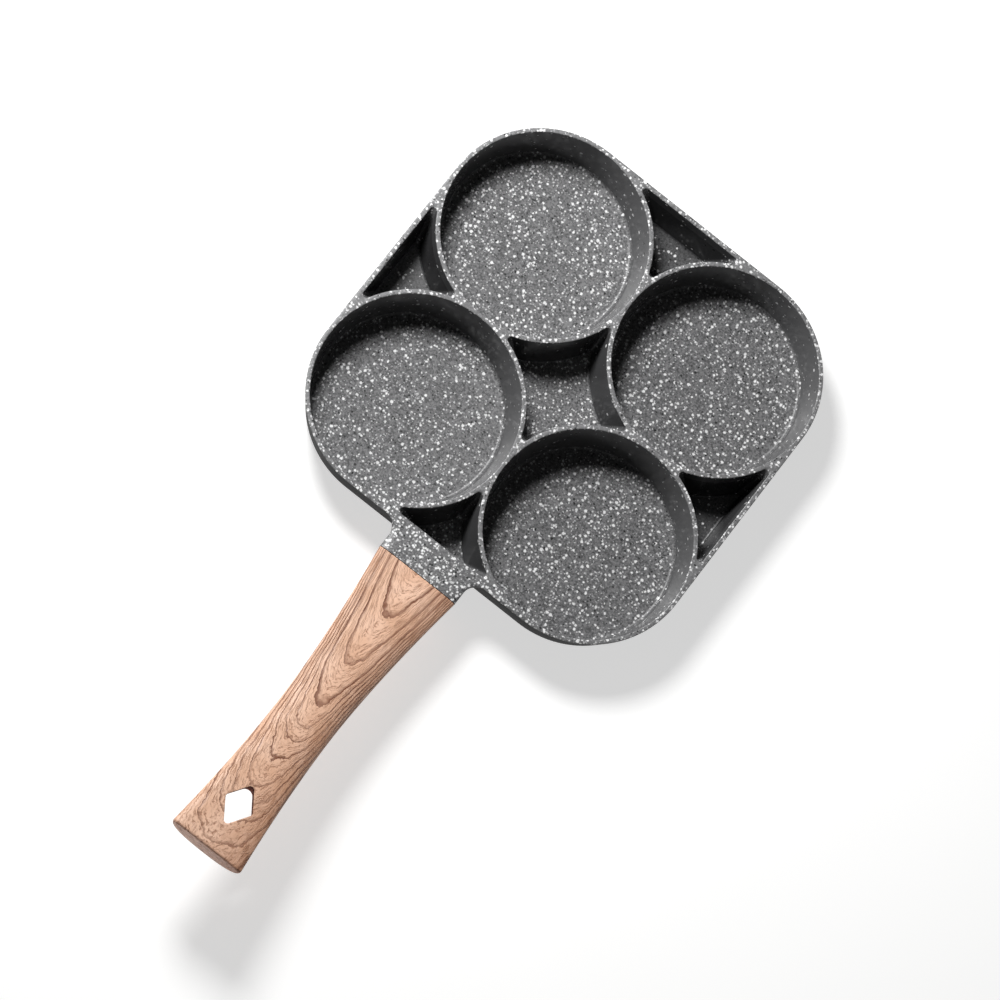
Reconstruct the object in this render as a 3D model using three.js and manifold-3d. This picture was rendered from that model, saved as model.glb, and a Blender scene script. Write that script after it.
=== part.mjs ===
// Four-cup frying pan: one aluminium casting and a moulded handle held by one screw.
// Millimetres. +Z is up, the handle points along -Y, the flat base stands on z = 0.
import * as THREE from 'three';
import { mergeVertices } from 'three/addons/utils/BufferGeometryUtils.js';
import Module from 'manifold-3d';

const wasm = await Module();
wasm.setup();

// Cups: four round wells whose rims nearly touch
const CUP_RIM_RADIUS = 46.2;
const CUP_DEPTH = 20.9;
const CUP_BRIDGE = 1.6;
const CUP_FLOOR_ROUND = 2.0;

// Casting: floor, walls, draft and edge rounds
const FLOOR_THICKNESS = 4.1;
const RING_WALL = 2.0;
const SIDE_WALL = 2.2;
const NECK_SIDE_WALL = 3.7;
const DRAFT_DEG = 9.5;
const RIM_ROUND = 0.5;
const BASE_ROUND = 6.0;

// Pockets: the open spaces left between the cups
const POCKET_DEPTH = 20.6;
const POCKET_CORNER = 1.6;
const POCKET_FLOOR_ROUND = 1.2;

// Neck: the stub of the casting that carries the handle
const NECK_LENGTH = 12.8;
const NECK_FILLET = 6.5;
const NECK_TOP_POWER = 12.0;

// Handle: plan shape, rise and section
const HANDLE_LENGTH = 154.0;
const HANDLE_JOINT_HALF_WIDTH = 20.2;
const HANDLE_WAIST_HALF_WIDTH = 13.8;
const HANDLE_TAIL_HALF_WIDTH = 17.9;
const HANDLE_WAIST_SHARE = 0.53;
const HANDLE_FRONT_POWER = 1.7;
const HANDLE_BACK_POWER = 1.9;
const HANDLE_RISE = 21.0;
const HANDLE_START_SLOPE = 0.06;
const HANDLE_END_SLOPE = 0.08;
const HANDLE_JOINT_THICKNESS = 20.0;
const HANDLE_TAIL_THICKNESS = 15.0;
const HANDLE_CROWN = 2.2;
const HANDLE_TOP_POWER = 6.0;
const HANDLE_GRIP_CROWN = 5.5;
const HANDLE_GRIP_POWER = 3.2;
const HANDLE_BELLY_POWER = 2.4;
const HANDLE_END_ROUND = 1.2;

// Hanging hole: a lozenge through the tail of the handle
const HOLE_HALF_WIDTH = 7.0;
const HOLE_HALF_LENGTH = 11.0;
const HOLE_CORNER = 1.5;
const HOLE_FROM_TAIL = 22.9;
const HOLE_DRAFT_DEG = 6.0;

// Tang: the tongue of the casting inside the handle
const TANG_LENGTH = 45.0;
const TANG_WIDTH = 22.0;
const TANG_TIP_WIDTH = 19.0;
const TANG_HEIGHT = 6.0;
const TANG_COVER = 4.5;

// Screw and washers, driven from below into the tang
const SCREW_SHARE = 0.56;
const SCREW_RADIUS = 2.5;
const SCREW_HEAD_RADIUS = 4.7;
const SCREW_HEAD_HEIGHT = 2.4;
const SEAT_FLOOR = 2.5;
const WASHER_RADIUS = 5.0;
const WASHER_THICKNESS = 0.8;
const SPRING_RADIUS = 4.5;
const SPRING_THICKNESS = 1.2;
const SPRING_SPLIT = 1.0;

// Clearance between pieces that touch or slide together
const FIT = 0.3;

// Values that follow from the sizes above
const HEIGHT = FLOOR_THICKNESS + CUP_DEPTH;
const HALF_PITCH = CUP_RIM_RADIUS + CUP_BRIDGE / 2;
const RING_RADIUS = CUP_RIM_RADIUS + RING_WALL;
const HALF_WIDTH = HALF_PITCH + RING_RADIUS;
const DRAFT = THREE.MathUtils.degToRad(DRAFT_DEG);
const JOINT_Y = -(HALF_WIDTH + NECK_LENGTH);
const TAIL_Y = JOINT_Y - HANDLE_LENGTH;
const BORE_RADIUS = SCREW_RADIUS + FIT;

// Facets: how finely the curves are cut
const CUP_SIDES = 72;
const CORNER_STEPS = 14;
const ROUND_STEPS = 3;
const ARC_STEPS = 10;
const TIP_STEPS = 5;
const SECTION_POINTS = 40;
const HANDLE_STATIONS = 26;
const NECK_STATIONS = 9;
const BORE_SIDES = 28;
const PAST = 2.0;

// Bodies

function toSolid(geometry) {
  const bare = new THREE.BufferGeometry();
  bare.setAttribute('position', geometry.getAttribute('position').clone());
  if (geometry.index) bare.setIndex(geometry.index.clone());
  const merged = mergeVertices(bare, 1e-4);
  const points = merged.getAttribute('position').array;
  const corners = merged.index.array;
  const kept = [];
  let volume = 0;
  const a = new THREE.Vector3();
  const b = new THREE.Vector3();
  const c = new THREE.Vector3();
  for (let i = 0; i < corners.length; i += 3) {
    const [p, q, r] = [corners[i], corners[i + 1], corners[i + 2]];
    if (p === q || q === r || p === r) continue;
    kept.push(p, q, r);
    a.fromArray(points, 3 * p);
    b.fromArray(points, 3 * q);
    c.fromArray(points, 3 * r);
    volume += a.dot(b.cross(c));
  }
  if (volume < 0) kept.reverse();
  const mesh = new wasm.Mesh({
    numProp: 3,
    vertProperties: new Float32Array(points),
    triVerts: new Uint32Array(kept),
  });
  return new wasm.Manifold(mesh);
}

function toGeometry(body) {
  const mesh = body.getMesh();
  const geometry = new THREE.BufferGeometry();
  const points = [];
  for (let i = 0; i < mesh.vertProperties.length; i += mesh.numProp) {
    points.push(...mesh.vertProperties.subarray(i, i + 3));
  }
  geometry.setAttribute('position', new THREE.Float32BufferAttribute(points, 3));
  geometry.setIndex(Array.from(mesh.triVerts));
  geometry.computeVertexNormals();
  return geometry;
}

// A skin through rings of points with the same count, closed by a fan at both ends.
function loft(rings) {
  const count = rings[0].length;
  const points = [];
  const faces = [];
  for (const ring of rings) {
    for (const p of ring) points.push(p.x, p.y, p.z);
  }
  for (let i = 0; i + 1 < rings.length; i += 1) {
    for (let j = 0; j < count; j += 1) {
      const k = (j + 1) % count;
      const [a, b] = [i * count + j, i * count + k];
      const [c, d] = [a + count, b + count];
      faces.push(a, b, d, a, d, c);
    }
  }
  for (const end of [0, rings.length - 1]) {
    const middle = new THREE.Vector3();
    for (const p of rings[end]) middle.add(p);
    middle.divideScalar(count);
    points.push(middle.x, middle.y, middle.z);
    const hub = points.length / 3 - 1;
    for (let j = 0; j < count; j += 1) {
      const [a, b] = [end * count + j, end * count + ((j + 1) % count)];
      if (end === 0) faces.push(hub, b, a);
      else faces.push(hub, a, b);
    }
  }
  const geometry = new THREE.BufferGeometry();
  geometry.setAttribute('position', new THREE.Float32BufferAttribute(points, 3));
  geometry.setIndex(faces);
  return toSolid(geometry);
}

// A turned body about an upright axis, from (radius, height) pairs that start and end on the axis.
function turned(profile, sides, x, y) {
  const geometry = new THREE.LatheGeometry(profile.map(([r, z]) => new THREE.Vector2(r, z)), sides);
  geometry.rotateX(Math.PI / 2);
  geometry.translate(x, y, 0);
  return toSolid(geometry);
}

function rod(radius, low, high, x, y) {
  return turned([[0, low], [radius, low], [radius, high], [0, high]], BORE_SIDES, x, y);
}

// An upright prism of a flat outline.
function prism(shape, low, high, steps) {
  const geometry = new THREE.ExtrudeGeometry(shape, {
    depth: high - low,
    bevelEnabled: false,
    curveSegments: steps,
  });
  geometry.translate(0, 0, low);
  return toSolid(geometry);
}

function arc(cx, cy, radius, from, to, steps) {
  const list = [];
  for (let i = 0; i <= steps; i += 1) {
    const t = from + ((to - from) * i) / steps;
    list.push([cx + radius * Math.cos(t), cy + radius * Math.sin(t)]);
  }
  return list;
}

function ringAt(pairs, z) {
  return pairs.map(([x, y]) => new THREE.Vector3(x, y, z));
}

// Drafted walls, as (inset, height) pairs: the inset is measured inwards from the rim outline

// Inset and height of the lower round where a drafted wall meets a level floor.
function floorRound(floor, round) {
  const touch = floor + round - round * Math.sin(DRAFT);
  const inset = (HEIGHT - touch) * Math.tan(DRAFT) + round * Math.cos(DRAFT);
  const turn = arc(0, floor + round, round, -Math.PI / 2, -DRAFT, ROUND_STEPS);
  return turn.map(([out, z]) => [inset - out, z]);
}

// The wall of a well: floor round, drafted wall, then the rim round that leans out to the land.
function wellWall(depth, round) {
  const wall = floorRound(HEIGHT - depth, round);
  const drop = RIM_ROUND * (1 - Math.sin(DRAFT));
  const out = RIM_ROUND * Math.cos(DRAFT) - drop * Math.tan(DRAFT);
  const turn = arc(0, HEIGHT - RIM_ROUND, RIM_ROUND, Math.PI - DRAFT, Math.PI / 2, ROUND_STEPS);
  for (const [side, z] of turn) wall.push([-out - side, z]);
  wall.push([-out, HEIGHT + PAST]);
  return wall;
}

// The outer wall of the casting: base round, drafted wall, then the rounded outer rim.
function outerWall() {
  const wall = floorRound(0, BASE_ROUND);
  const drop = RIM_ROUND * (1 + Math.sin(DRAFT));
  const inset = drop * Math.tan(DRAFT) + RIM_ROUND * Math.cos(DRAFT);
  const turn = arc(0, HEIGHT - RIM_ROUND, RIM_ROUND, -DRAFT, Math.PI / 2, ROUND_STEPS);
  for (const [side, z] of turn) wall.push([inset - side, z]);
  return wall;
}

// Outlines

function roundedSquare(inset) {
  const radius = RING_RADIUS - inset;
  const list = [];
  for (let i = 0; i < 4; i += 1) {
    const from = (i * Math.PI) / 2;
    const cx = HALF_PITCH * (i === 0 || i === 3 ? 1 : -1);
    const cy = HALF_PITCH * (i < 2 ? 1 : -1);
    list.push(...arc(cx, cy, radius, from, from + Math.PI / 2, CORNER_STEPS));
  }
  return list;
}

// Pocket between two cups and one outer wall, drawn on the -Y side.
function sidePocket(inset, wall) {
  const ring = RING_RADIUS + inset;
  const reach = ring + POCKET_CORNER;
  const edge = HALF_WIDTH - wall - inset;
  const tipY = -(edge - POCKET_CORNER);
  const tipX = HALF_PITCH - Math.sqrt(reach ** 2 - (tipY + HALF_PITCH) ** 2);
  const peakY = -HALF_PITCH - Math.sqrt(reach ** 2 - HALF_PITCH ** 2);
  const toTip = Math.atan2(-HALF_PITCH - tipY, HALF_PITCH - tipX);
  const toPeak = Math.atan2(-HALF_PITCH - peakY, HALF_PITCH);
  const half = [
    ...arc(tipX, tipY, POCKET_CORNER, -Math.PI / 2, toTip, TIP_STEPS),
    ...arc(HALF_PITCH, -HALF_PITCH, ring, Math.PI + toTip, Math.PI + toPeak, ARC_STEPS).slice(1, -1),
    ...arc(0, peakY, POCKET_CORNER, toPeak, Math.PI / 2, TIP_STEPS),
  ];
  const mirrored = half.slice(0, -1).reverse().map(([x, y]) => [-x, y]);
  return [...half, ...mirrored];
}

// Star-shaped pocket between all four cups.
function middlePocket(inset) {
  const ring = RING_RADIUS + inset;
  const reach = ring + POCKET_CORNER;
  const rise = Math.sqrt(reach ** 2 - HALF_PITCH ** 2);
  const tipY = -(HALF_PITCH - rise);
  const lean = Math.atan2(rise, HALF_PITCH);
  const quarter = [
    ...arc(0, tipY, POCKET_CORNER, Math.PI + lean, 2 * Math.PI - lean, 2 * TIP_STEPS),
    ...arc(HALF_PITCH, -HALF_PITCH, ring, Math.PI - lean, Math.PI / 2 + lean, ARC_STEPS).slice(1, -1),
  ];
  const list = [];
  for (let i = 0; i < 4; i += 1) list.push(...quarter.map((p) => turnedPoint(p, (i * Math.PI) / 2)));
  return list;
}

function turnedPoint([x, y], angle) {
  const [c, s] = [Math.cos(angle), Math.sin(angle)];
  return [c * x - s * y, s * x + c * y];
}

// Handle and neck share one family of sections along Y

// Height of the top line: level at the rim, rising through the handle, easing at the tail.
function topLine(y) {
  const run = NECK_LENGTH + HANDLE_LENGTH;
  const u = THREE.MathUtils.clamp((-HALF_WIDTH - y) / run, 0, 1);
  const rise = HANDLE_RISE * (3 * u ** 2 - 2 * u ** 3);
  const leave = HANDLE_START_SLOPE * run * (u ** 3 - 2 * u ** 2 + u);
  const arrive = HANDLE_END_SLOPE * run * (u ** 3 - u ** 2);
  return HEIGHT + rise + leave + arrive;
}

// How far along the handle: 0 at the joint, 1 at the tail.
function handleShare(y) {
  return THREE.MathUtils.clamp((JOINT_Y - y) / HANDLE_LENGTH, 0, 1);
}

function handleHalfWidth(y) {
  const u = handleShare(y);
  if (u < HANDLE_WAIST_SHARE) {
    const away = (HANDLE_WAIST_SHARE - u) / HANDLE_WAIST_SHARE;
    const grow = HANDLE_JOINT_HALF_WIDTH - HANDLE_WAIST_HALF_WIDTH;
    return HANDLE_WAIST_HALF_WIDTH + grow * away ** HANDLE_FRONT_POWER;
  }
  const away = (u - HANDLE_WAIST_SHARE) / (1 - HANDLE_WAIST_SHARE);
  const grow = HANDLE_TAIL_HALF_WIDTH - HANDLE_WAIST_HALF_WIDTH;
  return HANDLE_WAIST_HALF_WIDTH + grow * away ** HANDLE_BACK_POWER;
}

function handleThickness(y) {
  return THREE.MathUtils.lerp(HANDLE_JOINT_THICKNESS, HANDLE_TAIL_THICKNESS, handleShare(y));
}

// Crowned top with tight shoulders over a full belly.
function section(y, halfWidth, thickness, crown, topPower, shrink) {
  const list = [];
  const shoulder = topLine(y) - crown;
  for (let i = 0; i < SECTION_POINTS; i += 1) {
    const t = (2 * Math.PI * i) / SECTION_POINTS;
    const [c, s] = [Math.cos(t), Math.sin(t)];
    const upper = s >= 0;
    const across = upper ? 2 / topPower : 2 / HANDLE_BELLY_POWER;
    const x = (halfWidth - shrink) * Math.sign(c) * Math.abs(c) ** across;
    const reach = upper ? crown - shrink : thickness - crown - shrink;
    const z = reach * Math.sign(s) * Math.abs(s) ** (2 / HANDLE_BELLY_POWER);
    list.push(new THREE.Vector3(x, y, shoulder + z));
  }
  return list;
}

// The top is flat at both ends of the handle and rounder in the middle of the grip.
function handleSection(y, shrink) {
  const share = Math.sin(Math.PI * handleShare(y)) ** 2;
  const crown = THREE.MathUtils.lerp(HANDLE_CROWN, HANDLE_GRIP_CROWN, share);
  const power = THREE.MathUtils.lerp(HANDLE_TOP_POWER, HANDLE_GRIP_POWER, share);
  return section(y, handleHalfWidth(y), handleThickness(y), crown, power, shrink);
}

function handleBlank() {
  const start = JOINT_Y - FIT;
  const rings = [];
  for (let i = 0; i <= HANDLE_STATIONS; i += 1) {
    const y = THREE.MathUtils.lerp(start, TAIL_Y + HANDLE_END_ROUND, i / HANDLE_STATIONS);
    rings.push(handleSection(y, 0));
  }
  for (let i = 1; i <= ROUND_STEPS; i += 1) {
    const t = (i * Math.PI) / 2 / ROUND_STEPS;
    const y = TAIL_Y + HANDLE_END_ROUND * (1 - Math.sin(t));
    const shrink = HANDLE_END_ROUND * (1 - Math.cos(t));
    rings.push(handleSection(y, shrink));
  }
  return loft(rings);
}

// The neck flares into the outer wall, leans with its draft and starts level with the rim.
function neckBlank() {
  const rings = [];
  const inside = -(HALF_WIDTH - NECK_SIDE_WALL / 2);
  for (let i = 0; i <= NECK_STATIONS; i += 1) {
    const share = i / NECK_STATIONS;
    const y = THREE.MathUtils.lerp(inside, JOINT_Y, share);
    const clear = THREE.MathUtils.clamp(-HALF_WIDTH - y, 0, NECK_FILLET);
    const flare = NECK_FILLET - Math.sqrt(NECK_FILLET ** 2 - (NECK_FILLET - clear) ** 2);
    const crown = THREE.MathUtils.lerp(RIM_ROUND, HANDLE_CROWN, share);
    const power = THREE.MathUtils.lerp(NECK_TOP_POWER, HANDLE_TOP_POWER, share);
    const half = HANDLE_JOINT_HALF_WIDTH + flare;
    const ring = section(y, half, HANDLE_JOINT_THICKNESS, crown, power, 0);
    for (const p of ring) p.y += (1 - share) * (topLine(y) - p.z) * Math.tan(DRAFT);
    rings.push(ring);
  }
  return loft(rings);
}

// The tongue follows the slope of the handle; grown by a clearance it is the socket.
function tangBlank(grow) {
  const rings = [];
  const stations = [JOINT_Y + (grow ? FIT : NECK_LENGTH / 2), JOINT_Y - TANG_LENGTH - grow];
  const widths = [TANG_WIDTH, TANG_TIP_WIDTH];
  stations.forEach((y, i) => {
    const w = widths[i] / 2 + grow;
    const high = topLine(y) - TANG_COVER + grow;
    const low = topLine(y) - TANG_COVER - TANG_HEIGHT - grow;
    const pairs = [[w, low], [w, high], [-w, high], [-w, low]];
    rings.push(pairs.map(([x, z]) => new THREE.Vector3(x, y, z)));
  });
  return loft(rings);
}

// Fixing stack at the tang: heights worked out from the top line downwards
const screwY = JOINT_Y - TANG_LENGTH * SCREW_SHARE;
const tangTop = topLine(screwY) - TANG_COVER;
const tangLow = tangTop - TANG_HEIGHT;
const seat = tangLow - FIT - SEAT_FLOOR;
const washerLow = seat - FIT - WASHER_THICKNESS;
const springLow = washerLow - FIT - SPRING_THICKNESS;
const headTop = springLow - FIT;
const screwTip = tangTop - FIT;

// Outline of the hanging hole, widened by an offset.
function lozenge(offset) {
  const side = Math.hypot(HOLE_HALF_WIDTH, HOLE_HALF_LENGTH);
  const wide = Math.atan2(HOLE_HALF_WIDTH, HOLE_HALF_LENGTH);
  const sharp = Math.PI / 2 - wide;
  const nearY = HOLE_HALF_LENGTH - (HOLE_CORNER * side) / HOLE_HALF_WIDTH;
  const nearX = HOLE_HALF_WIDTH - (HOLE_CORNER * side) / HOLE_HALF_LENGTH;
  const centre = TAIL_Y + HOLE_FROM_TAIL;
  const radius = HOLE_CORNER + offset;
  return [
    ...arc(nearX, centre, radius, -wide, wide, TIP_STEPS),
    ...arc(0, centre + nearY, radius, Math.PI / 2 - sharp, Math.PI / 2 + sharp, TIP_STEPS),
    ...arc(-nearX, centre, radius, Math.PI - wide, Math.PI + wide, TIP_STEPS),
    ...arc(0, centre - nearY, radius, 1.5 * Math.PI - sharp, 1.5 * Math.PI + sharp, TIP_STEPS),
  ];
}

// The hole widens downwards, as it is drawn from the mould below.
function hangingHole() {
  const top = topLine(TAIL_Y + HOLE_FROM_TAIL);
  const spread = Math.tan(THREE.MathUtils.degToRad(HOLE_DRAFT_DEG));
  const levels = [top - 2 * HANDLE_TAIL_THICKNESS, top + PAST];
  return loft(levels.map((z) => ringAt(lozenge((top - z) * spread), z)));
}

function panBody() {
  let body = loft(outerWall().map(([inset, z]) => ringAt(roundedSquare(inset), z)));
  body = body.add(neckBlank()).add(tangBlank(0));
  const cupWall = wellWall(CUP_DEPTH, CUP_FLOOR_ROUND);
  const cup = cupWall.map(([inset, z]) => [CUP_RIM_RADIUS - inset, z]);
  const profile = [[0, cup[0][1]], ...cup, [0, cup[cup.length - 1][1]]];
  for (const x of [-HALF_PITCH, HALF_PITCH]) {
    for (const y of [-HALF_PITCH, HALF_PITCH]) body = body.subtract(turned(profile, CUP_SIDES, x, y));
  }
  const pocketWall = wellWall(POCKET_DEPTH, POCKET_FLOOR_ROUND);
  body = body.subtract(loft(pocketWall.map(([inset, z]) => ringAt(middlePocket(inset), z))));
  for (let i = 0; i < 4; i += 1) {
    const wall = i === 0 ? NECK_SIDE_WALL : SIDE_WALL;
    const outline = (inset) => sidePocket(inset, wall).map((p) => turnedPoint(p, (i * Math.PI) / 2));
    body = body.subtract(loft(pocketWall.map(([inset, z]) => ringAt(outline(inset), z))));
  }
  return body.subtract(rod(BORE_RADIUS, tangLow - PAST, tangTop + PAST, 0, screwY));
}

function handleBody() {
  const counterbore = rod(WASHER_RADIUS + FIT, 0, seat, 0, screwY);
  const bore = rod(BORE_RADIUS, seat - PAST, screwTip, 0, screwY);
  let body = handleBlank().subtract(tangBlank(FIT));
  body = body.subtract(counterbore).subtract(bore);
  return body.subtract(hangingHole());
}

// Domed head below, plain shank above.
function screwBody() {
  const dome = [];
  for (let i = 0; i <= 2 * ROUND_STEPS; i += 1) {
    const t = (i * Math.PI) / 4 / ROUND_STEPS;
    dome.push([SCREW_HEAD_RADIUS * Math.sin(t), headTop - SCREW_HEAD_HEIGHT * Math.cos(t)]);
  }
  const profile = [...dome, [SCREW_RADIUS, headTop], [SCREW_RADIUS, screwTip], [0, screwTip]];
  return turned(profile, BORE_SIDES, 0, screwY);
}

function washerBody(radius, low, thickness, split) {
  const shape = new THREE.Shape();
  const gap = split / 2;
  const [outerTurn, innerTurn] = [Math.asin(gap / radius), Math.asin(gap / BORE_RADIUS)];
  if (split) {
    shape.absarc(0, screwY, radius, outerTurn, 2 * Math.PI - outerTurn, false);
    shape.absarc(0, screwY, BORE_RADIUS, 2 * Math.PI - innerTurn, innerTurn, true);
    shape.closePath();
  } else {
    shape.absarc(0, screwY, radius, 0, 2 * Math.PI, false);
    const hole = new THREE.Path();
    hole.absarc(0, screwY, BORE_RADIUS, 0, 2 * Math.PI, true);
    shape.holes.push(hole);
  }
  return prism(shape, low, low + thickness, BORE_SIDES);
}

// Named pieces and their finishes
const group = new THREE.Group();
group.name = 'four_cup_pan';

function addPiece(name, body, color, roughness, metalness) {
  const material = new THREE.MeshStandardMaterial({ color, roughness, metalness });
  material.name = name;
  const mesh = new THREE.Mesh(toGeometry(body), material);
  mesh.name = name;
  group.add(mesh);
}

addPiece('pan_body', panBody(), 0x77787a, 0.5, 0.0);
addPiece('handle', handleBody(), 0xc9a189, 0.45, 0.0);
addPiece('flat_washer', washerBody(WASHER_RADIUS, washerLow, WASHER_THICKNESS, 0), 0xb9bbbd, 0.35, 1.0);
const springWasher = washerBody(SPRING_RADIUS, springLow, SPRING_THICKNESS, SPRING_SPLIT);
addPiece('spring_washer', springWasher, 0xa6a8aa, 0.4, 1.0);
addPiece('handle_screw', screwBody(), 0xc2c4c6, 0.3, 1.0);

export default group;
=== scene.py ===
# %% [markdown]
# # A four-cup frying pan
# The imported CAD model is the frame: it fixes where every piece sits and how large it is.
# This script dresses that frame with finer meshes and real-looking finishes, then lights it
# and sets a camera like the one that took the photograph.

# %% Load the frame
import math

import bpy
import numpy as np
from mathutils import Matrix, Vector


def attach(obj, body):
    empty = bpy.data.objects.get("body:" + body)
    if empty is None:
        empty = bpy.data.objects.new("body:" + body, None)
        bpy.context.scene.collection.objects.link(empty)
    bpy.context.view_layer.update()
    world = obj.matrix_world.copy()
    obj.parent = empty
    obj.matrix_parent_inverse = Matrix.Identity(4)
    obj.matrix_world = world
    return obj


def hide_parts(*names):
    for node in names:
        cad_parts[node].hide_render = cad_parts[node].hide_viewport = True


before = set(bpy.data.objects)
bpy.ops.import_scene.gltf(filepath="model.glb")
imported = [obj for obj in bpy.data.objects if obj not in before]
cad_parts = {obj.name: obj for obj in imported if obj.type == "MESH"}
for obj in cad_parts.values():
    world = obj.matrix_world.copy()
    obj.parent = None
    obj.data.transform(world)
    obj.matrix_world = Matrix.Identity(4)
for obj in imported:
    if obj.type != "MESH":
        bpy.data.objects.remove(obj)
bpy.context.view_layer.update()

MM_PER_METRE = 1000.0

# %% [markdown]
# ## Tools for the whole lesson
# A loft is a skin through rings of points, as a boat's planks run over its ribs. Nearly every
# shape here is one: a cup is a stack of circles, a pocket a stack of stars, the handle a row of
# sections. Rings could be drawn by hand as curves, but worked out in code they keep their exact
# sizes. All sizes are in millimetres and turn to metres when a mesh is made.


# %% Meshes from rings
def arc(cx, cy, radius, start, end, steps):
    turn = np.linspace(start, end, steps + 1)
    return np.stack([cx + radius * np.cos(turn), cy + radius * np.sin(turn)], axis=1)


def circle(cx, cy, radius, steps):
    return arc(cx, cy, radius, 0, 2 * math.pi, steps)[:-1]


def level(outline, z):
    """A flat outline lifted to one height."""
    return np.column_stack([outline, np.full(len(outline), z)])


def make_object(name, points, faces):
    mesh = bpy.data.meshes.new(name)
    mesh.from_pydata((np.asarray(points) / MM_PER_METRE).tolist(), [], faces)
    mesh.validate()
    obj = bpy.data.objects.new(name, mesh)
    bpy.context.scene.collection.objects.link(obj)
    return obj


def signed_volume(mesh):
    """The volume of a closed mesh, below zero where its faces look inwards."""
    mesh.calc_loop_triangles()
    points = np.array([v.co for v in mesh.vertices])
    corners = np.array([t.vertices for t in mesh.loop_triangles])
    a, b, c = points[corners[:, 0]], points[corners[:, 1]], points[corners[:, 2]]
    return float(np.einsum("ij,ij->i", a, np.cross(b, c)).sum() / 6)


def loft(name, rings):
    """A closed skin through rings of the same count, with a flat cap at both ends."""
    count = len(rings[0])
    faces = []
    for i in range(len(rings) - 1):
        for j in range(count):
            k = (j + 1) % count
            faces.append((i * count + j, i * count + k, (i + 1) * count + k, (i + 1) * count + j))
    last = (len(rings) - 1) * count
    faces.append(tuple(range(count - 1, -1, -1)))
    faces.append(tuple(range(last, last + count)))
    obj = make_object(name, np.concatenate(rings), faces)
    if signed_volume(obj.data) < 0:
        obj.data.flip_normals()
    return obj


TRIAL_STEPS = 48
facet_error = 1 - np.linalg.norm(circle(0, 0, 1, TRIAL_STEPS)[:2].mean(axis=0))
print("a circle in", TRIAL_STEPS, "steps misses the true one by", round(facet_error, 4), "of its radius")

# %% [markdown]
# ## Nodes
# Every finish is worked out by shader nodes from the place on the object, so it has no seams and
# looks right from all sides. One function adds a node, sets it and links it. It hands back the
# node's first output, so that the next node can use it like a value in a formula.


# %% Colour and node helpers
def tint(code):
    """An sRGB hex colour as linear light."""
    parts = [int(code[i : i + 2], 16) / 255 for i in (0, 2, 4)]
    return [c / 12.92 if c <= 0.04045 else ((c + 0.055) / 1.055) ** 2.4 for c in parts] + [1.0]


def add(tree, kind, inputs=(), **settings):
    node = tree.nodes.new("ShaderNode" + kind)
    for key, value in settings.items():
        setattr(node, key, value)
    pairs = inputs.items() if isinstance(inputs, dict) else enumerate(inputs)
    for key, value in pairs:
        if isinstance(value, bpy.types.NodeSocket):
            tree.links.new(value, node.inputs[key])
        else:
            node.inputs[key].default_value = value
    return node.outputs[0] if node.outputs else None


def new_material(name):
    """An empty material, its node tree and the place on the object in millimetres."""
    material = bpy.data.materials.new(name)
    material.use_nodes = True
    tree = material.node_tree
    tree.nodes.clear()
    metres = add(tree, "TexCoord").node.outputs["Object"]
    return material, tree, add(tree, "VectorMath", {0: metres, "Scale": MM_PER_METRE}, operation="SCALE")


def finish_material(material, inputs):
    tree = material.node_tree
    shader = add(tree, "BsdfPrincipled", inputs)
    add(tree, "OutputMaterial", {"Surface": shader})
    print(material.name, "has", len(tree.nodes), "nodes")


print("the middle grey 808080 as linear light:", round(tint("808080")[0], 3))

# %% [markdown]
# ## Camera
# The camera was found by fitting a pinhole to the cup rims and cup floors in the photograph:
# a long lens, high above the handle side, rolled so that the handle points to the lower left.

# %% Camera
EYE = Vector((-46.818, -791.722, 2483.253))
HEADING, LOOK_DOWN, ROLL = (math.radians(angle) for angle in (4.286, 73.370, 42.405))
SENSOR, LENS, VIEW_END = 36.0, 216.0, 20000.0

flat = math.cos(LOOK_DOWN)
forward = Vector((math.sin(HEADING) * flat, math.cos(HEADING) * flat, -math.sin(LOOK_DOWN)))
level_right = Vector((math.cos(HEADING), -math.sin(HEADING), 0.0))
right = math.cos(ROLL) * level_right + math.sin(ROLL) * level_right.cross(forward)
up = right.cross(forward)

camera_data = bpy.data.cameras.new("camera")
camera_data.sensor_width = SENSOR
camera_data.lens = LENS
camera_data.clip_end = VIEW_END / MM_PER_METRE
camera = bpy.data.objects.new("camera", camera_data)
turned = Matrix((right, up, -forward)).transposed().to_4x4()
camera.matrix_world = Matrix.Translation(EYE / MM_PER_METRE) @ turned
bpy.context.scene.collection.objects.link(camera)
bpy.context.scene.camera = camera
print("camera height above the base:", round(EYE.z), "mm")

# %% [markdown]
# ## Floor and light
# The pan lies on a white table that is lit from within, as catalogue pictures use. The table
# shines a little by itself, so the shadow of the pan stays pale. A plain white floor would need
# much more light from above, and that would wash out the shadows in the cups.

# %% Floor
FLOOR_HALF, FLOOR_DROP = 6000.0, 0.2
FLOOR_GLOW, FLOOR_MOTTLE = 0.62, 167.0

corner_signs = ((-1, -1), (1, -1), (1, 1), (-1, 1))
floor_corners = [(sx * FLOOR_HALF, sy * FLOOR_HALF, -FLOOR_DROP) for sx, sy in corner_signs]
floor = make_object("floor", floor_corners, [(0, 1, 2, 3)])

# Matt white board: it has no gloss and a mottle that can hardly be seen.
board, tree, mm = new_material("pale_floor")
mottle = add(tree, "TexNoise", {"Vector": mm, "Scale": 1 / FLOOR_MOTTLE, "Detail": 3.0})
colour = add(tree, "MixRGB", [mottle, tint("c6c6c5"), tint("cbcbca")])
finish_material(board, {"Base Color": colour, "Roughness": 0.8, "Emission Color": tint("ffffff"),
                        "Emission Strength": FLOOR_GLOW})
floor.data.materials.append(board)

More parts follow.
